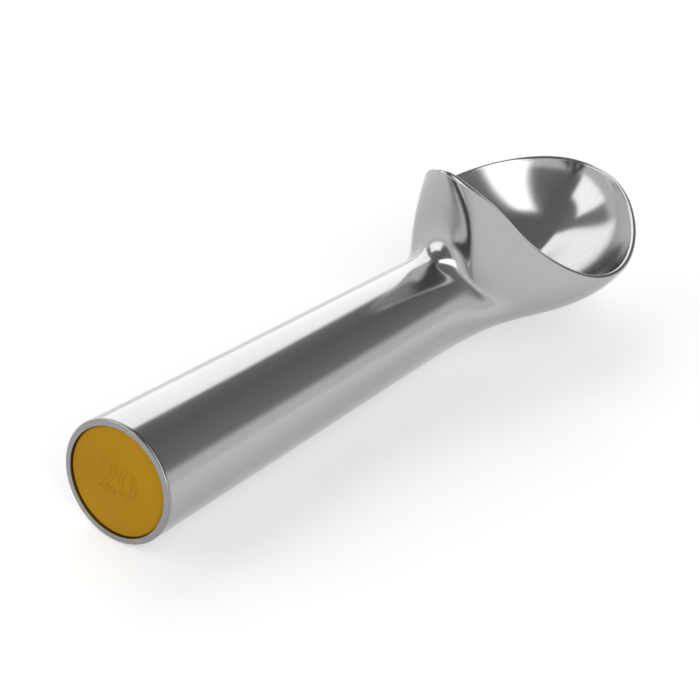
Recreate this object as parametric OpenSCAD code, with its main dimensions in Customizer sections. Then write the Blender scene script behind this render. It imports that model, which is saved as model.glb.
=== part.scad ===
// One-piece ice cream dipper with a fluid-filled handle, in millimetres.
// The handle lies along X with its butt at the low end, and the bowl opens upwards.
// The origin is under the middle of the dipper, on the surface that it lies on.

/* [Overall] */
// Length from the butt of the handle to the front lip
overall_l = 177.3; // [165:0.1:200]

/* [Handle] */
// Diameter of the handle at the butt
butt_d = 26.08; // [25.6:0.02:30]
// Diameter of the handle where the head begins
neck_d = 22.42; // [21:0.02:24]
// Length between the end of the straight taper and the top of the back wall
throat_l = 5.5; // [3:0.1:8]
// Bevel on the outer edge of the butt
butt_bevel = 0.5; // [0.2:0.05:0.8]

/* [Bowl rim] */
// Length of the bowl from the top of its back wall to the lip
bowl_l = 73.8; // [66:0.1:84]
// Width that the rim's stations are shares of
bowl_w = 53.6; // [48:0.1:60]
// Height of the back wall's top above the handle axis
back_h = 34; // [30:0.1:40]
// Height of the front lip above the handle axis
lip_h = 13.6; // [11:0.1:17]
// Width of the rounded rim
rim_w = 1.4; // [1:0.05:2]

/* [Bowl wall] */
// Extra wall that the inside gains below the rim
wall_gain = 2; // [1.8:0.1:3]
// Depth of the bowl floor below the handle axis
floor_drop = 7; // [5:0.1:7.2]
// Distance of the floor's lowest point behind the lip
floor_back = 40.3; // [36:0.1:44]

/* [Chamber] */
// Diameter of the chamber that is bored along the handle
chamber_d = 14.6; // [11:0.1:15.5]
// Length that the full bore runs past the end of the straight taper
chamber_reach = 6; // [0:0.1:8]
// Point angle at the closed end of the bore
drill_angle = 118; // [90:1:135]
// Height of the fluid's surface above the handle axis
fluid_level = 4.8; // [2:0.1:6]

/* [End closure] */
// Diameter of the recess for the end cap
recess_d = 23.3; // [22.6:0.1:23.8]
// Depth of the recess for the end cap
recess_depth = 3; // [2.4:0.1:4]
// Diameter of the seat for the closure plug
seat_d = 17.6; // [17:0.1:20]
// Depth of the plug's seat behind the recess
seat_depth = 10; // [9:0.1:14]
// Length of the closure plug
plug_l = 9.6; // [8.4:0.1:9.8]
// Diameter of the blind hole in the plug that takes the cap's spigot
pilot_d = 8; // [6:0.1:9]
// Depth of that blind hole
pilot_depth = 4; // [3.2:0.1:4.5]

/* [Seal] */
// Thickness of the seal ring's round section
seal_d = 1.8; // [1.5:0.05:2.2]
// Width of the plug's groove for the seal ring
groove_w = 2.4; // [2.3:0.05:2.8]
// Distance of the groove's near side from the plug's inner end
groove_back = 4.6; // [3.2:0.1:4.8]

/* [End cap] */
// Distance of the cap's face inside the butt
cap_inset = 0.45; // [0.2:0.05:0.8]
// Radius of the rounded edge of the cap's face
cap_round = 0.5; // [0.3:0.05:0.9]
// Length of the cap's spigot
spigot_l = 3; // [2:0.1:3.1]

/* [Hidden] */

// Radial room between the cap or the plug and its seat
seat_fit = 0.03;
// Gap between two faces that bear on each other
face_fit = 0.02;
// Gap between the fluid and the wall that it wets
wet_fit = 0.05;
// Radial room of the spigot in the pilot hole
spigot_fit = 0.05;
// Overrun of every cut past the face that it opens
overrun = 1;
// How far the head's surface starts inside the handle, along it and below its skin
root_overlap = 2;
root_inset = 0.02;
// Chamfer on the plug's ends
plug_bevel = 0.4;

// Places along the rim from the back wall's top, 0, to the lip, 1, at every 30 degrees around it
rim_reach_shares = [0, 0.091, 0.245, 0.425, 0.656, 0.927, 1];
// Half widths of the rim there, without the two ends, as shares of half the bowl's width
rim_width_shares = [0.28, 0.552, 0.851, 0.97, 0.463];
// Heights of the rim there, from the lip's height, 0, to the back wall's, 1
rim_rise_shares = [1, 0.751, 0.18, -0.268, -0.312, -0.063, 0];
// How far the outer skin follows the handle's line before it turns up, in bowl lengths
run_shares = [0.182, 0.199, 0.289, 0.299, 0.482, 0.612, 0.472];
// How far the skin below the rim lies ahead of the rim, in bowl lengths
lean_shares = [0.123, 0.057, -0.008, -0.045, 0.046, -0.02, -0.041];
// Half widths of the skin below the rim, as shares of the rim's own
tuck_shares = [1, 0.96, 0.97, 0.93, 0.88, 0.86, 0.87];
// How far that skin reaches below the rim, in back wall heights
fall_shares = [0.693, 0.6, 0.464, 0.394, 0.429, 0.649, 0.739];
// How far the inner skin follows the outer one down, at the back, the sides and the lip
inner_fall_shares = [0.8, 0.65, 0.6];
// How far from the floor's lowest point the inner skin levels out, at the same places
floor_shares = [0.66, 0.5, 0.45];

// Counts of facets: around the head, along its outer skin, over the rim and down the inside
around_n = 60;
outer_n = 24;
rim_n = 4;
inner_n = 14;
// Facets of turned shapes
$fn = 96;

axis_z = butt_d / 2;
butt_x = -overall_l / 2;
back_x = overall_l - bowl_l;
grip_l = back_x - throat_l;
taper = (butt_d - neck_d) / 2 / grip_l;
floor_x = overall_l - floor_back;
chamber_x = recess_depth + seat_depth;
chamber_end_x = grip_l + chamber_reach;
point_l = chamber_d / 2 / tan(drill_angle / 2);
plug_x = chamber_x - face_fit - plug_l;
plug_r = seat_d / 2 - seat_fit;
groove_r = seat_d / 2 - seat_fit - seal_d;
groove_x = chamber_x - face_fit - groove_back;
seal_x = groove_x + groove_w / 2;
cap_r = recess_d / 2 - seat_fit;
cap_back_x = recess_depth - face_fit;
spigot_r = pilot_d / 2 - spigot_fit;
run_step = 1;

// Terms of the smooth even curve through stations at equal angles from 0 to 180
function even_terms(v) = let (n = len(v) - 1)
    [for (k = [0:n]) end_share(k, n) * 2 / n * [for (j = [0:n]) end_share(j, n) * v[j]]
        * [for (j = [0:n]) cos(180 * k * j / n)]];
function end_share(k, n) = k == 0 || k == n ? 0.5 : 1;
function even_at(terms, a) = terms * [for (k = [0:len(terms) - 1]) cos(k * a)];

// Terms of the smooth odd curve through the stations between 0 and 180, zero at both
function odd_terms(v) = let (n = len(v) + 1)
    [for (k = [1:n - 1]) 2 / n * v * [for (j = [1:n - 1]) sin(180 * k * j / n)]];
function odd_at(terms, a) = terms * [for (k = [1:len(terms)]) sin(k * a)];

reach_terms = even_terms(rim_reach_shares);
width_terms = odd_terms(rim_width_shares);
rise_terms = even_terms(rim_rise_shares);
run_terms = even_terms(run_shares);
lean_terms = even_terms(lean_shares);
tuck_terms = even_terms(tuck_shares);
fall_terms = even_terms(fall_shares);
inner_fall_terms = even_terms(inner_fall_shares);
floor_terms = even_terms(floor_shares);

function unit(v) = v / norm(v);
function bezier(p, t) = pow(1 - t, 3) * p[0] + 3 * pow(1 - t, 2) * t * p[1] + 3 * (1 - t) * t * t * p[2]
    + pow(t, 3) * p[3];

// The rim's outer edge at an angle around the head, 0 at the back and 180 at the lip
function rim_at(a) = [
    back_x + bowl_l * even_at(reach_terms, a),
    -bowl_w / 2 * odd_at(width_terms, a),
    lip_h + (back_h - lip_h) * even_at(rise_terms, a)
];

// From the rim's outer edge to the control point of the outer skin below it
function fall_at(a) = [
    bowl_l * even_at(lean_terms, a),
    rim_at(a).y * (even_at(tuck_terms, a) - 1),
    -back_h * even_at(fall_terms, a)
];

// Square to the rim's run and to the wall below it, into the bowl
function inward_at(a) = unit(cross(rim_at(a + run_step) - rim_at(a - run_step), fall_at(a)));

// Control points of the outer skin, from the handle to the rim
function outer_curve(a) = let (
    r = neck_d / 2 - root_inset,
    root = [grip_l, -r * sin(a), r * cos(a)],
    run = bowl_l * even_at(run_terms, a) * [1, taper * sin(a), -taper * cos(a)],
    rim = rim_at(a)
) [root, root + run, rim + fall_at(a), rim];

// The handle's own ring, from which the head grows
function root_ring_at(a) = let (r = neck_d / 2 - root_inset + taper * root_overlap)
    [grip_l - root_overlap, -r * sin(a), r * cos(a)];

// A point of the rounded rim, from its outer edge at 0 to its inner edge at 180
function land_at(a, turn) = rim_at(a) + rim_w / 2 * (1 - cos(turn)) * inward_at(a)
    - rim_w / 2 * sin(turn) * unit(fall_at(a));

// Control points of the inner skin, from the rim to the floor's lowest point
function inner_curve(a) = let (
    edge = land_at(a, 180),
    spread = even_at(floor_terms, a),
    low = [floor_x, 0, -floor_drop]
) [
    edge,
    edge + even_at(inner_fall_terms, a) * fall_at(a) + wall_gain * inward_at(a),
    [floor_x + spread * (edge.x - floor_x), spread * edge.y, low.z],
    low
];

around = [for (i = [0:around_n - 1]) 360 * i / around_n];

// Lays a piece that is modelled along Z from the butt on the handle's axis
module on_axis() {
    translate([butt_x, 0, axis_z]) rotate([0, 90, 0]) children();
}

// Turns a half section, given as points of radius and distance from the butt
module turned(points) {
    rotate_extrude() polygon(points);
}

// The head as one skin: up the outside, over the rim and down into the bowl
module head() {
    outer = [for (a = around) outer_curve(a)];
    inner = [for (a = around) inner_curve(a)];
    rings = concat(
        [[for (a = around) root_ring_at(a)]],
        [for (i = [0:outer_n]) [for (c = outer) bezier(c, i / outer_n)]],
        [for (i = [1:rim_n - 1]) [for (a = around) land_at(a, 180 * i / rim_n)]],
        [for (i = [0:inner_n - 1]) [for (c = inner) bezier(c, i / inner_n)]]
    );
    last = len(rings) - 1;
    floor_point = len(rings) * around_n;
    points = concat([for (ring = rings) each ring], [[floor_x, 0, -floor_drop]]);
    sides = [for (k = [0:last - 1], i = [0:around_n - 1]) let (
        low = k * around_n,
        next = (i + 1) % around_n
    ) each [[low + i, low + around_n + i, low + next], [low + next, low + around_n + i, low + around_n + next]]];
    floor_fan = [for (i = [0:around_n - 1])
        [last * around_n + (i + 1) % around_n, last * around_n + i, floor_point]];
    root_face = [[for (i = [0:around_n - 1]) i]];
    translate([butt_x, 0, axis_z]) polyhedron(points, concat(root_face, sides, floor_fan));
}

// The aluminium casting: handle, bowl and the bores from the butt
module dipper_casting() {
    color("silver") difference() {
        union() {
            on_axis() turned([
                [0, 0],
                [butt_d / 2 - butt_bevel, 0],
                [butt_d / 2 - taper * butt_bevel, butt_bevel],
                [neck_d / 2, grip_l],
                [0, grip_l]
            ]);
            head();
        }
        on_axis() turned([
            [0, -overrun],
            [recess_d / 2, -overrun],
            [recess_d / 2, recess_depth],
            [seat_d / 2, recess_depth],
            [seat_d / 2, chamber_x],
            [chamber_d / 2, chamber_x],
            [chamber_d / 2, chamber_end_x],
            [0, chamber_end_x + point_l]
        ]);
    }
}

// The fluid in the chamber, with air above it
module heat_transfer_fluid() {
    r = chamber_d / 2 - wet_fit;
    color("lightyellow") difference() {
        on_axis() turned([
            [0, chamber_x + wet_fit],
            [r, chamber_x + wet_fit],
            [r, chamber_end_x],
            [0, chamber_end_x + point_l * r / (chamber_d / 2)]
        ]);
        translate([butt_x, -chamber_d, axis_z + fluid_level])
            cube([overall_l, chamber_d * 2, chamber_d]);
    }
}

// The aluminium plug that closes the chamber, with a groove for the seal
module closure_plug() {
    color("darkgray") on_axis() turned([
        [0, plug_x + pilot_depth],
        [pilot_d / 2, plug_x + pilot_depth],
        [pilot_d / 2, plug_x],
        [plug_r - plug_bevel, plug_x],
        [plug_r, plug_x + plug_bevel],
        [plug_r, groove_x],
        [groove_r, groove_x],
        [groove_r, groove_x + groove_w],
        [plug_r, groove_x + groove_w],
        [plug_r, plug_x + plug_l - plug_bevel],
        [plug_r - plug_bevel, plug_x + plug_l],
        [0, plug_x + plug_l]
    ]);
}

// The rubber ring between the plug and its seat
module plug_o_ring() {
    color("black") on_axis() rotate_extrude()
        translate([groove_r + (seal_d + seat_fit) / 2, seal_x]) circle(d = seal_d, $fn = 32);
}

// The coloured cap in the butt, with its spigot in the plug
module end_cap() {
    color("goldenrod") on_axis() rotate_extrude() union() {
        translate([0, cap_inset]) square([cap_r - cap_round, cap_round]);
        translate([0, cap_inset + cap_round]) square([cap_r, cap_back_x - cap_inset - cap_round]);
        intersection() {
            translate([cap_r - cap_round, cap_inset + cap_round]) circle(r = cap_round, $fn = 48);
            translate([cap_r - cap_round, cap_inset]) square([cap_round, cap_round]);
        }
        translate([0, cap_back_x - cap_round]) square([spigot_r, cap_round + spigot_l]);
    }
}

dipper_casting();
heat_transfer_fluid();
closure_plug();
plug_o_ring();
end_cap();
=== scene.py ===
"""Dresses the packed ice cream dipper: a one-piece polished casting, its end cap and the parts inside."""

import math

import bpy
from mathutils import Euler, Matrix, Vector


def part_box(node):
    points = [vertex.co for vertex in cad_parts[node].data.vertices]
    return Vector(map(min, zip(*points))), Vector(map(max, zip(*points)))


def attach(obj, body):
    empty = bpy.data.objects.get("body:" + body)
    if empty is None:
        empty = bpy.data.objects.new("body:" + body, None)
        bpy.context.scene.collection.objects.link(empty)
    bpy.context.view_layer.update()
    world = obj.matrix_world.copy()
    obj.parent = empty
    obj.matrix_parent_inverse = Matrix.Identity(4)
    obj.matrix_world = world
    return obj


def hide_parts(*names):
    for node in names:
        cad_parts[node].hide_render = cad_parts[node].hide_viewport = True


bl_info = {
    "name": "Ice Cream Dipper",
    "version": (1, 0, 0),
    "blender": (4, 5, 0),
    "location": "3D View > Sidebar > Dipper",
    "description": "Builds a one-piece polished dipper with a fluid-filled handle",
    "category": "Add Mesh",
}

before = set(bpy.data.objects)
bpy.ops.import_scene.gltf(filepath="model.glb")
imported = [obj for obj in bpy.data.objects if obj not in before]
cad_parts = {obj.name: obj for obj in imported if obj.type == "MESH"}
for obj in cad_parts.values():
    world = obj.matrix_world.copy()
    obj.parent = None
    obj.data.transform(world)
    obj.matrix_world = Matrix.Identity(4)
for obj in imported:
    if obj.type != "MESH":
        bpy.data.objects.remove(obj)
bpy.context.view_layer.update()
ROOT = "root"
MM = 0.001

# The handle's axis runs through the middle of the end cap, and the butt is the low end of the casting
CASTING_LOW, CASTING_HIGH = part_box("dipper_casting")
CAP_LOW, CAP_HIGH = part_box("end_cap")
BUTT_X = CASTING_LOW[0]
AXIS_Z = (CAP_LOW[2] + CAP_HIGH[2]) / 2
# How far the rim's round stands ahead of the lip
LIP_ROUND = 0.01 * MM
# Points of a piece that are nearer to each other than this become one
SEAM = 0.001 * MM
# Rows of points on a straight face and over a small rounded edge
FACE_ROWS = 2
EDGE_ROWS = 9

# The head's stations, at equal angles from the back wall's top round one side to the lip.
# The rim's distance along the bowl, its half width without the two ends, and its height above the lip
RIM_REACH_SHARES = (0, 0.108, 0.239, 0.414, 0.681, 0.937, 1)
RIM_WIDTH_SHARES = (0.347, 0.525, 0.844, 0.962, 0.457)
RIM_RISE_SHARES = (1, 0.672, 0.191, -0.278, -0.331, -0.043, 0)
# How far each flow line heads straight on from the handle, against the bowl's length
RUN_SHARES = (0.142, 0.282, 0.319, 0.325, 0.466, 0.598, 0.483)
# Where each line makes for the rim from: ahead of it, its width against the rim's, and below it
LEAN_SHARES = (0.122, -0.096, -0.15, -0.097, -0.019, -0.004, -0.044)
TUCK_SHARES = (1.218, 0.852, 0.794, 0.817, 0.798, 0.826, 0.868)
FALL_SHARES = (0.503, 0.567, 0.495, 0.374, 0.416, 0.597, 0.756)
# How much of that drop the bowl's inside takes, and how wide its lines are when they reach the floor
INNER_FALL_SHARES = (0.8, 0.65, 0.6)
FLOOR_SHARES = (0.66, 0.5, 0.45)

# Painted shade: the metal at the butt's end face and its bevel is darkened in colour, and fades out between
# these distances from it
BUTT_SHADE_FROM = 0.4 * MM
BUTT_SHADE_TO = 0.9 * MM
# Depths of the scratches, the polishing lines and the slow swell in the metal
SCRATCH_DEPTH = 0.0012 * MM
LINE_DEPTH = 0.002 * MM
SWELL_DEPTH = 0.04 * MM
# Depths of the marks in the plastic and the rubber, and in the plug
GRAIN_DEPTH = 0.02 * MM
RING_DEPTH = 0.01 * MM

# Soft boxes of the studio: azimuth and elevation from and to, in degrees, and strength
SOFT_BOXES = (
    (-132, -105, 4, 74, 3.0),
    (108, 165, 13, 44, 2.0),
)
# The large rear box has a wedge angle in place of the elevation. This angle turns about the handle's line,
# from the level on the far side upwards.
REAR_BOX = (24, 88, -5, 66, 1.9)
# How far a box fades to each side of its edges, in degrees
SOFT_EDGE = 3
# The pale walls begin to fade at the first of these elevations, and at the second only the dome is left
WALL_TOP = 11
DOME_FOOT = 20
# The dome is dimmest at this wedge angle, and gains this much light for each degree away from it
DIM_WEDGE = 99
DOME_GAIN = 0.0018


def length(name, about, value):
    """A size in metres."""
    return bpy.props.FloatProperty(
        name=name, description=about, default=value, min=0, precision=5, subtype="DISTANCE", unit="LENGTH")


def tint(name, about, value):
    """A colour, in linear light."""
    return bpy.props.FloatVectorProperty(
        name=name, description=about, default=value, size=3, min=0, max=1, subtype="COLOR")


def level(name, about, value):
    """A plain number from zero up."""
    return bpy.props.FloatProperty(name=name, description=about, default=value, min=0)


def turn(name, about, degrees):
    """An angle."""
    return bpy.props.FloatProperty(
        name=name, description=about, default=math.radians(degrees), subtype="ANGLE", unit="ROTATION")


def count(name, about, value):
    """A number of points or rows of points."""
    return bpy.props.IntProperty(name=name, description=about, default=value, min=3)


class DipperCastingSizes(bpy.types.PropertyGroup):
    """Sizes of the one-piece casting, each an input of its node tree."""
    overall_length: length("Overall Length", "From the butt to the lip", CASTING_HIGH[0] - BUTT_X - LIP_ROUND)
    butt_diameter: length("Butt Diameter", "Handle diameter at the butt", 2 * AXIS_Z)
    neck_diameter: length("Neck Diameter", "Handle diameter where the head begins", 22.42 * MM)
    throat_length: length("Throat Length", "From the end of the taper to the back wall's top", 6.05 * MM)
    butt_bevel: length("Butt Bevel", "Bevel on the outer edge of the butt", 0.5 * MM)
    bowl_length: length("Bowl Length", "From the top of the back wall to the lip", 73.25 * MM)
    bowl_width: length("Bowl Width", "Width of the bowl over its rim", CASTING_HIGH[1] - CASTING_LOW[1])
    back_height: length("Back Height", "Top of the back wall above the axis", 33.67 * MM)
    lip_height: length("Lip Height", "Lip above the handle's axis", 13.6 * MM)
    rim_width: length("Rim Width", "Width of the rounded rim", 1.4 * MM)
    wall_gain: length("Wall Gain", "Extra wall below the rim", 2 * MM)
    floor_drop: length("Floor Drop", "Bowl floor below the handle's axis", 7 * MM)
    floor_back: length("Floor Back", "Lowest point of the floor behind the lip", 40.3 * MM)
    recess_diameter: length("Recess Diameter", "Recess for the end cap", 23.3 * MM)
    recess_depth: length("Recess Depth", "Depth of that recess", 3 * MM)
    seat_diameter: length("Seat Diameter", "Seat of the closure plug", 17.6 * MM)
    seat_depth: length("Seat Depth", "Depth of that seat", 10 * MM)
    chamber_diameter: length("Chamber Diameter", "Bore of the fluid chamber", 14.6 * MM)
    chamber_reach: length("Chamber Reach", "Bore past the end of the taper", 6 * MM)
    chamber_point: length("Chamber Point", "Drill point at the chamber's end", 4.386 * MM)
    facets_around: count("Facets Around", "Points around the handle and the head", 241)
    rows_outside: count("Rows Outside", "Rows of points up the outside of the head", 110)
    rows_over_rim: count("Rows Over Rim", "Rows of points over the rim", 14)
    rows_inside: count("Rows Inside", "Rows of points down into the bowl", 72)


class DipperCapSizes(bpy.types.PropertyGroup):
    """Sizes of the end cap, each an input of its node tree."""
    face_place: length("Face Place", "Face of the cap behind the butt", CAP_LOW[0] - BUTT_X)
    cap_length: length("Cap Length", "From the face to the spigot's end", CAP_HIGH[0] - CAP_LOW[0])
    cap_diameter: length("Cap Diameter", "Diameter of the disc", CAP_HIGH[2] - CAP_LOW[2])
    edge_round: length("Edge Round", "Radius of the face's rounded edge", 0.5 * MM)
    disc_thickness: length("Disc Thickness", "Thickness of the disc", 2.53 * MM)
    spigot_diameter: length("Spigot Diameter", "Diameter of the spigot behind the disc", 7.9 * MM)
    number: bpy.props.StringProperty(name="Number", description="Plain size number on the face", default="20")
    number_height: length("Number Height", "Height of the raised number's type", 9.6 * MM)
    number_bead: length("Number Bead", "Thickness of the raised outline", 0.2 * MM)
    facets_around: count("Facets Around", "Points around the cap", 161)


class DipperFinishes(bpy.types.PropertyGroup):
    """Colours and polish of the pieces."""
    metal: tint("Metal", "Polished aluminium", (0.43, 0.43, 0.435))
    pit: tint("Pit", "Small pits in the polished aluminium", (0.12, 0.12, 0.12))
    plug: tint("Plug", "Turned aluminium of the plug", (0.6, 0.6, 0.61))
    cap: tint("Cap", "End cap plastic", (0.46, 0.24, 0.007))
    fluid: tint("Fluid", "Heat transfer fluid", (0.86, 0.84, 0.62))
    fluid_haze: tint("Fluid Haze", "Slight cloud in the fluid", (0.93, 0.91, 0.74))
    rubber: tint("Rubber", "Seal ring", (0.03, 0.03, 0.03))
    dust: tint("Dust", "Dusty bloom on the seal ring", (0.09, 0.09, 0.085))
    outer_roughness: level("Outer Roughness", "Satin of the handle and the head's outside", 0.16)
    bowl_roughness: level("Bowl Roughness", "Polish of the bowl's inside", 0.15)


class DipperStageSettings(bpy.types.PropertyGroup):
    """Floor, light and camera."""
    floor_size: length("Floor Size", "Side of the floor", 8)
    floor_colour: tint("Floor Colour", "Pale floor", (0.86, 0.86, 0.86))
    floor_glow: level("Floor Glow", "White that the floor shows to the eye and in gloss", 0.38)
    dome: level("Dome", "Least light from overhead", 0.2)
    horizon: level("Horizon", "Light from the pale walls near the level", 0.92)
    aim: bpy.props.FloatVectorProperty(
        name="Aim", description="Point that the camera looks at", default=(0, 6.6 * MM, 5.3 * MM), size=3,
        precision=5, subtype="TRANSLATION", unit="LENGTH")
    distance: length("Distance", "From the camera to that point", 512.06 * MM)
    heading: turn("Heading", "Direction of sight around the vertical", 30.661)
    dip: turn("Dip", "Direction of sight below the level", 29.702)
    roll: turn("Roll", "Camera turned about its line of sight", 10.044)
    lens: level("Lens", "Focal length in millimetres", 118.29)


def is_vector(value):
    """Whether a value or a wire has more than one part."""
    if isinstance(value, Wire):
        return value.socket.type in {"VECTOR", "RGBA"}
    return not isinstance(value, (int, float))


class Wire:
    """An output socket that Python's operators turn into Math nodes."""

    def __init__(self, board, socket):
        self.board = board
        self.socket = socket

    def of(self, operation, *others):
        """This wire and the others put through one Math operation."""
        return self.board.maths(operation, self, *others)

    def out(self, name):
        """Another output of the node that this wire comes from."""
        return Wire(self.board, find(self.socket.node.outputs, name))

    def swing(self, amount):
        """A wire between 0 and 1 as a swing about zero, of a given amount from end to end."""
        return (self - 0.5) * amount

    def __add__(self, other):
        return self.of("ADD", other)

    def __radd__(self, other):
        return self.of("ADD", other)

    def __sub__(self, other):
        return self.of("SUBTRACT", other)

    def __rsub__(self, other):
        return self.board.maths("SUBTRACT", other, self)

    def __mul__(self, other):
        return self.of("MULTIPLY", other)

    def __rmul__(self, other):
        return self.of("MULTIPLY", other)

    def __truediv__(self, other):
        return self.of("DIVIDE", other)

    def __neg__(self):
        return self.of("MULTIPLY", -1)


def find(sockets, name):
    """The live socket whose name is the given word, with spaces for underscores."""
    wanted = name.replace("_", " ").lower()
    return next(socket for socket in sockets if socket.enabled and socket.name.lower() == wanted)


class Board:
    """A node tree under construction."""

    def __init__(self, tree):
        self.tree = tree
        tree.nodes.clear()

    def add(self, kind, settings=None, *values, **named):
        """Adds a node: its settings first, then the values or wires of its sockets, by place or by name."""
        node = self.tree.nodes.new(kind)
        for name, value in (settings or {}).items():
            setattr(node, name, value)
        for place, value in enumerate(values):
            self.feed(node.inputs[place], value)
        for name, value in named.items():
            self.feed(find(node.inputs, name), value)
        live = [socket for socket in node.outputs if socket.enabled]
        return Wire(self, live[0]) if live else node

    def feed(self, socket, value):
        """Links a wire to a socket, or sets the socket's value."""
        if isinstance(value, Wire):
            self.tree.links.new(value.socket, socket)
        elif socket.type == "VECTOR" and not is_vector(value):
            socket.default_value = (value, value, value)
        elif socket.type == "RGBA" and len(value) == 3:
            socket.default_value = (*value, 1)
        else:
            socket.default_value = value

    def maths(self, operation, *values):
        """One Math node, or Vector Math where a value has more than one part."""
        kind = "ShaderNodeVectorMath" if any(is_vector(value) for value in values) else "ShaderNodeMath"
        return self.add(kind, {"operation": operation}, *values)

    def vector(self, x, y, z):
        """A vector of three parts."""
        return self.add("ShaderNodeCombineXYZ", None, x, y, z)

    def parts(self, vector):
        """The three parts of a vector."""
        split = self.add("ShaderNodeSeparateXYZ", None, vector)
        return split, split.out("Y"), split.out("Z")

    def step(self, value, low, high):
        """Rises smoothly from 0 at the low value to 1 at the high one."""
        return self.add("ShaderNodeMapRange", {"interpolation_type": "SMOOTHSTEP"}, value, low, high, 0, 1)

    def noise(self, vector, scale, detail, roughness):
        """A cloud of values about 0.5, the finer the larger its scale."""
        return self.add("ShaderNodeTexNoise", None,
                        Vector=vector, Scale=scale, Detail=detail, Roughness=roughness)

    def shade(self, colour, tone):
        """A colour made lighter or darker by a tone."""
        return self.maths("MULTIPLY", tuple(colour), tone)

    def mix(self, share, first, second):
        """A blend of two colours."""
        return self.add("ShaderNodeMix", {"data_type": "RGBA"}, Factor=share, A=first, B=second)

    def bump(self, height, strength=1.0, depth=1.0):
        """The surface's direction where a height shows as relief."""
        return self.add("ShaderNodeBump", None, Strength=strength, Distance=depth, Height=height)


def make_object(name, mesh):
    """Links a new object with a mesh to the scene, at the origin."""
    piece = bpy.data.objects.new(name, mesh)
    bpy.context.scene.collection.objects.link(piece)
    return piece


def show(piece, node):
    """Lets a piece stand for a CAD node, on the one body."""
    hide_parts(node)
    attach(piece, ROOT)


def even_terms(shares):
    """Cosine terms of the smooth even curve through stations at equal angles from 0 to 180 degrees."""
    n = len(shares) - 1
    half = [0.5 if k in (0, n) else 1 for k in range(n + 1)]
    return [half[k] * 2 / n * sum(half[j] * shares[j] * math.cos(math.pi * k * j / n) for j in range(n + 1))
            for k in range(n + 1)]


def odd_terms(shares):
    """Sine terms of the smooth odd curve through the stations between 0 and 180 degrees, the first unused."""
    n = len(shares) + 1
    return [0] + [2 / n * sum(part * math.sin(math.pi * k * (j + 1) / n) for j, part in enumerate(shares))
                  for k in range(1, n)]


def series(terms, waves):
    """The sum of the terms after the first, each times its wave."""
    total = terms[1] * waves[1]
    for k in range(2, len(terms)):
        total = total + terms[k] * waves[k]
    return total


def slope_terms(terms):
    """Terms of a series' slope, up to the sign of its waves."""
    return [k * term for k, term in enumerate(terms)]


def bezier(points, t):
    """A point of a cubic curve, from its control points."""
    s = 1 - t
    return (points[0] * (s * s * s) + points[1] * (3 * s * s * t) + points[2] * (3 * s * t * t)
            + points[3] * (t * t * t))


class Loft:
    """A geometry node tree whose surfaces are grids, laid out by an angle around and a share along."""

    def __init__(self, name, group):
        self.tree = bpy.data.node_groups.new(name, "GeometryNodeTree")
        self.board = board = Board(self.tree)
        face = self.tree.interface
        face.new_socket("Geometry", in_out="OUTPUT", socket_type="NodeSocketGeometry")
        face.new_socket("Geometry", in_out="INPUT", socket_type="NodeSocketGeometry")
        kinds = {"FLOAT": "NodeSocketFloat", "INT": "NodeSocketInt", "STRING": "NodeSocketString"}
        for key in group.__annotations__:
            field = group.bl_rna.properties[key]
            socket = face.new_socket(field.name, in_out="INPUT", socket_type=kinds[field.type])
            socket.default_value = field.default
        face.new_socket("Finish", in_out="INPUT", socket_type="NodeSocketMaterial")
        given = self.tree.nodes.new("NodeGroupInput")
        self.size = {socket.name: Wire(board, socket) for socket in given.outputs if socket.name}
        across, along, _ = board.parts(board.add("GeometryNodeInputPosition"))
        self.angle = (across + 0.5) * math.tau
        self.t = along + 0.5
        self.sine = self.angle.of("SINE")
        self.cosine = self.angle.of("COSINE")
        self.surfaces = []

    def ring(self, x, radius):
        """A point of the ring about the handle's axis at a distance from the butt."""
        return self.board.vector(x, -(radius * self.sine), radius * self.cosine)

    def surface(self, shape, rows, polish=0.0):
        """Adds a grid, moved to a shape, with its marks for the finish."""
        board = self.board
        marks = board.vector(self.cosine, self.sine, board.parts(shape)[0] / CASTING_HIGH[0])
        grid = board.add("GeometryNodeMeshGrid", None, 1, 1, self.size["Facets Around"], rows)
        marked = board.add("GeometryNodeStoreNamedAttribute", {"data_type": "FLOAT_VECTOR"},
                           Geometry=grid, Name="flow", Value=marks)
        marked = board.add("GeometryNodeStoreNamedAttribute", {"data_type": "FLOAT"},
                           Geometry=marked, Name="polish", Value=polish)
        self.surfaces.append(board.add("GeometryNodeSetPosition", None, Geometry=marked, Position=shape))

    def turned(self, profile):
        """Adds the turned faces between a profile's points, each a distance from the butt and a radius."""
        for (x_from, r_from), (x_to, r_to) in zip(profile, profile[1:]):
            x = x_from + self.t * (x_to - x_from)
            radius = r_from + self.t * (r_to - r_from)
            self.surface(self.ring(x, radius), FACE_ROWS)

    def close(self, extras=()):
        """Joins the surfaces and ends the tree."""
        board = self.board
        loose = self.join(self.surfaces)
        merged = board.add("GeometryNodeMergeByDistance", None, Geometry=loose, Distance=SEAM)
        whole = self.join([merged, *extras]) if extras else merged
        placed = board.add("GeometryNodeTransform", None, Geometry=whole, Translation=(BUTT_X, 0, AXIS_Z))
        real = board.add("GeometryNodeRealizeInstances", None, Geometry=placed)
        final = board.add("GeometryNodeSetMaterial", None, Geometry=real, Material=self.size["Finish"])
        end = self.tree.nodes.new("NodeGroupOutput")
        self.tree.links.new(final.socket, end.inputs[0])
        return self.tree

    def join(self, wires):
        """Joins several geometries."""
        node = self.tree.nodes.new("GeometryNodeJoinGeometry")
        for wire in wires:
            self.tree.links.new(wire.socket, node.inputs[0])
        return Wire(self.board, node.outputs[0])


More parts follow.
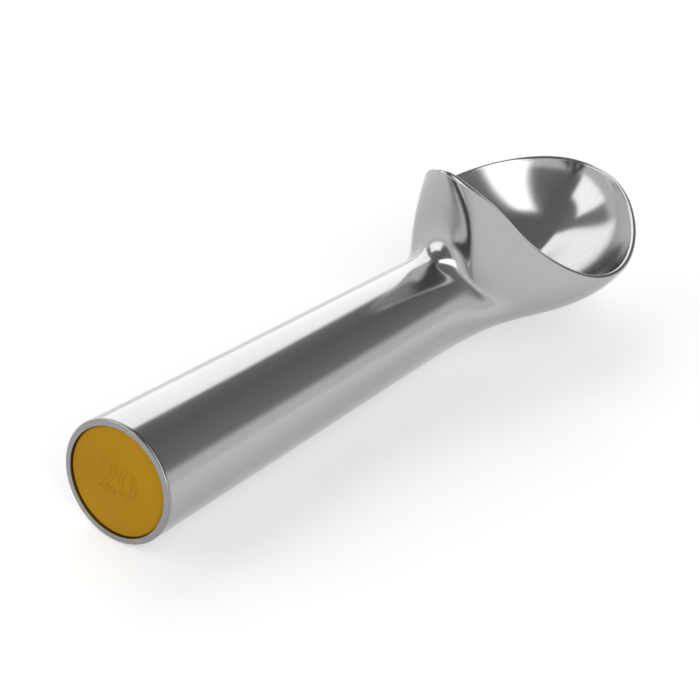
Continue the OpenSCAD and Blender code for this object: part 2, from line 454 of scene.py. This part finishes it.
def from_tree(name, tree, sizes, material, sharp_from):
    """Runs a node tree on an empty mesh and returns a plain mesh object, its edges sharp from an angle."""
    carrier = make_object(name, bpy.data.meshes.new(name))
    modifier = carrier.modifiers.new(name, "NODES")
    modifier.node_group = tree
    for item in tree.interface.items_tree:
        if item.in_out == "OUTPUT" or item.socket_type == "NodeSocketGeometry":
            continue
        key = item.name.lower().replace(" ", "_")
        modifier[item.identifier] = material if key == "finish" else getattr(sizes, key)
    bpy.context.view_layer.update()
    graph = bpy.context.evaluated_depsgraph_get()
    mesh = bpy.data.meshes.new_from_object(carrier.evaluated_get(graph))
    bpy.data.objects.remove(carrier)
    mesh.shade_smooth()
    mesh.set_sharp_from_angle(angle=sharp_from)
    return make_object(name, mesh)


def casting_tree():
    """Node tree that lofts the casting: turned bores and handle, then the head's flow lines into the bowl."""
    loft = Loft("Dipper Casting", DipperCastingSizes)
    board, size, t = loft.board, loft.size, loft.t
    waves = range(1, len(RIM_REACH_SHARES))
    cosines = [0] + [(loft.angle * k).of("COSINE") for k in waves]
    sines = [0] + [(loft.angle * k).of("SINE") for k in waves]

    def even(shares):
        terms = even_terms(shares)
        return terms[0] + series(terms, cosines)

    def even_slope(shares):
        return -series(slope_terms(even_terms(shares)), sines)

    back = size["Overall Length"] - size["Bowl Length"]
    grip = back - size["Throat Length"]
    neck_r = size["Neck Diameter"] / 2
    butt_r = size["Butt Diameter"] / 2
    taper = (butt_r - neck_r) / grip
    rise = size["Back Height"] - size["Lip Height"]
    floor_x = size["Overall Length"] - size["Floor Back"]
    bowl = size["Bowl Length"]

    bore_end = grip + size["Chamber Reach"]
    seat_end = size["Recess Depth"] + size["Seat Depth"]
    recess_r = size["Recess Diameter"] / 2
    bevel = size["Butt Bevel"]
    loft.turned([
        (bore_end + size["Chamber Point"], 0),
        (bore_end, size["Chamber Diameter"] / 2),
        (seat_end, size["Chamber Diameter"] / 2),
        (seat_end, size["Seat Diameter"] / 2),
        (size["Recess Depth"], size["Seat Diameter"] / 2),
        (size["Recess Depth"], recess_r),
        (0, recess_r),
        (0, butt_r - bevel),
    ])
    quarter = t * (math.pi / 2)
    bevelled = butt_r - bevel + (bevel - taper * bevel) * quarter.of("SINE")
    loft.surface(loft.ring(bevel * (1 - quarter.of("COSINE")), bevelled), EDGE_ROWS)
    loft.turned([(bevel, butt_r - taper * bevel), (grip, neck_r)])

    half_width = size["Bowl Width"] / -2
    width = odd_terms(RIM_WIDTH_SHARES)
    rim_y = half_width * series(width, sines)
    rim = board.vector(back + bowl * even(RIM_REACH_SHARES), rim_y,
                       size["Lip Height"] + rise * even(RIM_RISE_SHARES))
    rim_run = board.vector(bowl * even_slope(RIM_REACH_SHARES),
                           half_width * series(slope_terms(width), cosines),
                           rise * even_slope(RIM_RISE_SHARES))
    fall = board.vector(bowl * even(LEAN_SHARES), rim_y * (even(TUCK_SHARES) - 1),
                        -(size["Back Height"] * even(FALL_SHARES)))
    inward = rim_run.of("CROSS_PRODUCT", fall).of("NORMALIZE")
    down = fall.of("NORMALIZE")

    root = loft.ring(grip, neck_r)
    run = board.vector(1, taper * loft.sine, -(taper * loft.cosine)) * (bowl * even(RUN_SHARES))
    loft.surface(bezier([root, root + run, rim + fall, rim], t), size["Rows Outside"])

    half_rim = size["Rim Width"] / 2
    arc = t * math.pi
    over = inward * (half_rim * (1 - arc.of("COSINE"))) - down * (half_rim * arc.of("SINE"))
    loft.surface(rim + over, size["Rows Over Rim"], polish=t)

    edge = rim + inward * size["Rim Width"]
    edge_x, edge_y, _ = board.parts(edge)
    spread = even(FLOOR_SHARES)
    below = edge + fall * even(INNER_FALL_SHARES) + inward * size["Wall Gain"]
    ahead = board.vector(floor_x + spread * (edge_x - floor_x), spread * edge_y, -size["Floor Drop"])
    low = board.vector(floor_x, 0, -size["Floor Drop"])
    loft.surface(bezier([edge, below, ahead, low], t), size["Rows Inside"], polish=1.0)
    return loft.close()


def cap_tree():
    """Node tree of the end cap: a turned disc with a rounded edge and a spigot, and its raised number."""
    loft = Loft("Dipper Cap", DipperCapSizes)
    board, size = loft.board, loft.size
    face = size["Face Place"]
    cap_r = size["Cap Diameter"] / 2
    edge = size["Edge Round"]
    back = face + size["Disc Thickness"]
    end = face + size["Cap Length"]
    spigot_r = size["Spigot Diameter"] / 2
    arc = loft.t * (math.pi / 2)
    rounded = loft.ring(face + edge * (1 - arc.of("COSINE")), cap_r - edge * (1 - arc.of("SINE")))
    loft.turned([(face, 0), (face, cap_r - edge)])
    loft.surface(rounded, EDGE_ROWS)
    loft.turned([(face + edge, cap_r), (back, cap_r), (back, spigot_r), (end, spigot_r), (end, 0)])

    letters = board.add("GeometryNodeStringToCurves", {"align_x": "CENTER", "align_y": "MIDDLE"},
                        String=size["Number"], Size=size["Number Height"])
    lines = board.add("GeometryNodeRealizeInstances", None, Geometry=letters)
    quarter = math.pi / 2
    upright = board.add("GeometryNodeTransform", None, Geometry=lines,
                        Translation=board.vector(face, 0, 0), Rotation=(quarter, 0, -quarter))
    bead = board.add("GeometryNodeCurvePrimitiveCircle", None,
                     Resolution=10, Radius=size["Number Bead"] / 2)
    raised = board.add("GeometryNodeCurveToMesh", None, Curve=upright, Profile_Curve=bead)
    return loft.close([raised])


def new_material(name):
    """A material with an empty node tree, and the board on which it is built."""
    material = bpy.data.materials.new(name)
    material.use_nodes = True
    return material, Board(material.node_tree)


def finish_material(board, **sockets):
    """Ends a material in the standard shader."""
    shader = board.add("ShaderNodeBsdfPrincipled", None, **sockets)
    board.add("ShaderNodeOutputMaterial", None, shader)


def read_mark(board, name, output):
    """A mark that a node tree stored on its piece."""
    return board.add("ShaderNodeAttribute", {"attribute_name": name}).out(output)


def object_place(board):
    """Object coordinates."""
    return board.add("ShaderNodeTexCoord").out("Object")


def polished_aluminium(finishes):
    """Satin metal outside with polishing lines along its flow, and a mirror inside the bowl."""
    material, board = new_material("polished_aluminium")
    place = object_place(board)
    flow = read_mark(board, "flow", "Vector")
    polish = read_mark(board, "polish", "Fac")
    satin = 1 - polish
    lines = board.noise(flow * (1, 1, 0.12), scale=42, detail=3, roughness=0.6)
    scratches = board.noise(flow * (1, 1, 0.05), scale=150, detail=2, roughness=0.5)
    swell = board.noise(place, scale=38, detail=1, roughness=0.4)
    smudge = board.noise(place, scale=90, detail=3, roughness=0.6)
    pits = board.step(board.noise(place, scale=900, detail=1, roughness=0.5), low=0.78, high=0.83)
    # Painted shade: the metal's colour is darkened at the butt's end face and bevel
    butt_painted_shade = 1 - board.step(board.parts(place)[0], low=BUTT_X + BUTT_SHADE_FROM, high=BUTT_X + BUTT_SHADE_TO)

    pit_share, butt_shade_share = 0.25, 0.32
    tone = (1 + lines.swing(0.12) + swell.swing(0.1)) * (1 - butt_painted_shade * butt_shade_share)
    base = board.mix(pits * pit_share, board.shade(finishes.metal, tone), tuple(finishes.pit))
    outside = finishes.outer_roughness + lines.swing(0.14) + smudge.swing(0.08)
    inside = finishes.bowl_roughness + smudge.swing(0.05)
    roughness = outside * satin + inside * polish
    height = scratches * satin * SCRATCH_DEPTH + swell * SWELL_DEPTH + lines * satin * LINE_DEPTH
    finish_material(board, Base_Color=base, Metallic=1.0, Roughness=roughness, Normal=board.bump(height))
    return material


def cap_plastic(finishes):
    """Moulded ochre plastic, faintly mottled."""
    material, board = new_material("cap_plastic")
    place = object_place(board)
    cloud = board.noise(place, scale=70, detail=3, roughness=0.55)
    grain = board.noise(place, scale=1600, detail=2, roughness=0.5)
    base = board.shade(finishes.cap, 1 + cloud.swing(0.3))
    roughness = 0.34 + cloud.swing(0.2)
    bump = board.bump(grain, strength=0.4, depth=GRAIN_DEPTH)
    finish_material(board, Base_Color=base, Roughness=roughness, Specular_IOR_Level=0.08, Normal=bump)
    return material


def turned_aluminium(finishes):
    """Machined metal with fine rings about the handle's axis."""
    material, board = new_material("plug_aluminium")
    x, y, z = board.parts(object_place(board) - (0, 0, AXIS_Z))
    radius = (y * y + z * z).of("SQRT")
    rings = board.noise(board.vector(x, radius, 0), scale=2600, detail=2, roughness=0.6)
    base = board.shade(finishes.plug, 1 + rings.swing(0.3))
    roughness = 0.32 + rings.swing(0.16)
    bump = board.bump(rings, strength=0.5, depth=RING_DEPTH)
    finish_material(board, Base_Color=base, Metallic=1.0, Roughness=roughness, Normal=bump)
    return material


def seal_rubber(finishes):
    """Dull black rubber with a dusty bloom."""
    material, board = new_material("seal_rubber")
    bloom = board.noise(object_place(board), scale=900, detail=3, roughness=0.6)
    dusty_share = 0.4
    dust = board.step(bloom, low=0.45, high=0.8) * dusty_share
    base = board.mix(dust, tuple(finishes.rubber), tuple(finishes.dust))
    bump = board.bump(bloom, strength=0.4, depth=GRAIN_DEPTH)
    finish_material(board, Base_Color=base, Roughness=0.72 + bloom.swing(0.2), Normal=bump)
    return material


def heat_fluid(finishes):
    """Pale clear fluid with a slight cloud."""
    material, board = new_material("heat_fluid")
    cloud = board.noise(object_place(board), scale=120, detail=3, roughness=0.55)
    base = board.mix(cloud, tuple(finishes.fluid), tuple(finishes.fluid_haze))
    roughness = 0.07 + cloud.swing(0.06)
    finish_material(board, Base_Color=base, Roughness=roughness, Transmission_Weight=0.6, IOR=1.38)
    return material


def dress(node, material):
    """Gives a CAD node its material."""
    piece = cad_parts[node]
    piece.data.materials.clear()
    piece.data.materials.append(material)


class DIPPER_OT_casting(bpy.types.Operator):
    """Loft the polished casting over its CAD node"""
    bl_idname = "dipper.casting"
    bl_label = "Casting"

    def execute(self, context):
        metal = polished_aluminium(context.scene.dipper_finishes)
        sizes = context.scene.dipper_casting
        piece = from_tree("polished_casting", casting_tree(), sizes, metal, sharp_from=math.radians(32))
        show(piece, "dipper_casting")
        return {"FINISHED"}


class DIPPER_OT_end_cap(bpy.types.Operator):
    """Turn the coloured end cap with its raised size number"""
    bl_idname = "dipper.end_cap"
    bl_label = "End Cap"

    def execute(self, context):
        plastic = cap_plastic(context.scene.dipper_finishes)
        sizes = context.scene.dipper_cap
        piece = from_tree("moulded_end_cap", cap_tree(), sizes, plastic, sharp_from=math.radians(40))
        show(piece, "end_cap")
        return {"FINISHED"}


class DIPPER_OT_closure(bpy.types.Operator):
    """Finish the plug and its seal ring behind the cap"""
    bl_idname = "dipper.closure"
    bl_label = "Plug and Seal"

    def execute(self, context):
        dress("closure_plug", turned_aluminium(context.scene.dipper_finishes))
        dress("plug_o_ring", seal_rubber(context.scene.dipper_finishes))
        return {"FINISHED"}


class DIPPER_OT_fluid(bpy.types.Operator):
    """Finish the heat transfer fluid in the handle"""
    bl_idname = "dipper.fluid"
    bl_label = "Fluid"

    def execute(self, context):
        dress("heat_transfer_fluid", heat_fluid(context.scene.dipper_finishes))
        return {"FINISHED"}


def lay_floor(settings):
    """The pale floor, which keeps the shadow and shows white to the eye and in gloss."""
    half = settings.floor_size / 2
    corners = [(-half, -half, 0), (half, -half, 0), (half, half, 0), (-half, half, 0)]
    mesh = bpy.data.meshes.new("floor")
    mesh.from_pydata(corners, [], [(0, 1, 2, 3)])
    floor = make_object("floor", mesh)
    material, board = new_material("pale_floor")
    path = board.add("ShaderNodeLightPath")
    seen = path.out("Is Camera Ray").of("MAXIMUM", path.out("Is Glossy Ray")).of(
        "MAXIMUM", path.out("Is Transmission Ray"))
    matt = board.add("ShaderNodeBsdfDiffuse", None, Color=tuple(settings.floor_colour))
    glow = board.add("ShaderNodeEmission", None, Color=(1, 1, 1), Strength=seen * settings.floor_glow)
    board.add("ShaderNodeOutputMaterial", None, board.add("ShaderNodeAddShader", None, matt, glow))
    mesh.materials.append(material)


def light_studio(scene, settings):
    """A dim dome over pale walls, with soft boxes at the sides and behind."""
    scene.world = bpy.data.worlds.new("studio")
    scene.world.use_nodes = True
    board = Board(scene.world.node_tree)
    x, y, z = board.parts(board.add("ShaderNodeTexCoord").out("Generated"))
    azimuth = y.of("ARCTAN2", x) * math.degrees(1)
    elevation = z.of("ARCSINE") * math.degrees(1)
    wedge = z.of("ARCTAN2", y) * math.degrees(1)
    dome = settings.dome + (wedge - DIM_WEDGE).of("ABSOLUTE") * DOME_GAIN
    total = settings.horizon + board.step(elevation, WALL_TOP, DOME_FOOT) * (dome - settings.horizon)

    def between(value, low, high):
        """Fades in about the low value and out about the high one."""
        entered = board.step(value, low - SOFT_EDGE, low + SOFT_EDGE)
        return entered * (1 - board.step(value, high - SOFT_EDGE, high + SOFT_EDGE))

    boxes = [(elevation, box) for box in SOFT_BOXES] + [(wedge, REAR_BOX)]
    for height, (left, right, low, high, strength) in boxes:
        mask = between(azimuth, left, right) * between(height, low, high)
        total = total + mask * (strength - total)
    sky = board.add("ShaderNodeBackground", None, Color=board.vector(total, total, total))
    board.add("ShaderNodeOutputWorld", None, sky)


def place_camera(scene, settings):
    """The camera at the photograph's viewing angle."""
    camera = bpy.data.objects.new("camera", bpy.data.cameras.new("camera"))
    scene.collection.objects.link(camera)
    camera.data.lens = settings.lens
    camera.data.clip_start = 10 * MM
    turned = (Euler((math.pi / 2 - settings.dip, 0, settings.heading - math.pi / 2)).to_matrix()
              @ Matrix.Rotation(settings.roll, 3, "Z"))
    place = Vector(settings.aim) + turned @ Vector((0, 0, settings.distance))
    camera.matrix_world = Matrix.Translation(place) @ turned.to_4x4()
    scene.camera = camera


class DIPPER_OT_stage(bpy.types.Operator):
    """Place the camera, lay the pale floor and light it softly"""
    bl_idname = "dipper.stage"
    bl_label = "Stage"

    def execute(self, context):
        scene = context.scene
        place_camera(scene, scene.dipper_stage)
        lay_floor(scene.dipper_stage)
        light_studio(scene, scene.dipper_stage)
        scene.view_settings.view_transform = "Standard"
        return {"FINISHED"}


OPERATORS = (DIPPER_OT_stage, DIPPER_OT_casting, DIPPER_OT_end_cap, DIPPER_OT_closure, DIPPER_OT_fluid)
GROUPS = {
    "dipper_casting": DipperCastingSizes,
    "dipper_cap": DipperCapSizes,
    "dipper_finishes": DipperFinishes,
    "dipper_stage": DipperStageSettings,
}


class DIPPER_PT_panel(bpy.types.Panel):
    """Lists the dipper's pieces and their settings"""
    bl_idname = "DIPPER_PT_panel"
    bl_label = "Ice Cream Dipper"
    bl_space_type = "VIEW_3D"
    bl_region_type = "UI"
    bl_category = "Dipper"

    def draw(self, context):
        for operator in OPERATORS:
            self.layout.operator(operator.bl_idname)
        for name, group in GROUPS.items():
            box = self.layout.box()
            for key in group.__annotations__:
                box.prop(getattr(context.scene, name), key)


def register():
    for each in (*GROUPS.values(), *OPERATORS, DIPPER_PT_panel):
        bpy.utils.register_class(each)
    for name, group in GROUPS.items():
        setattr(bpy.types.Scene, name, bpy.props.PointerProperty(type=group))


def unregister():
    for name in GROUPS:
        delattr(bpy.types.Scene, name)
    for each in (DIPPER_PT_panel, *reversed(OPERATORS), *GROUPS.values()):
        bpy.utils.unregister_class(each)


def main():
    """Registers the add-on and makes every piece."""
    register()
    bpy.ops.dipper.stage()
    bpy.ops.dipper.casting()
    bpy.ops.dipper.end_cap()
    bpy.ops.dipper.closure()
    bpy.ops.dipper.fluid()


if __name__ == "__main__":
    main()
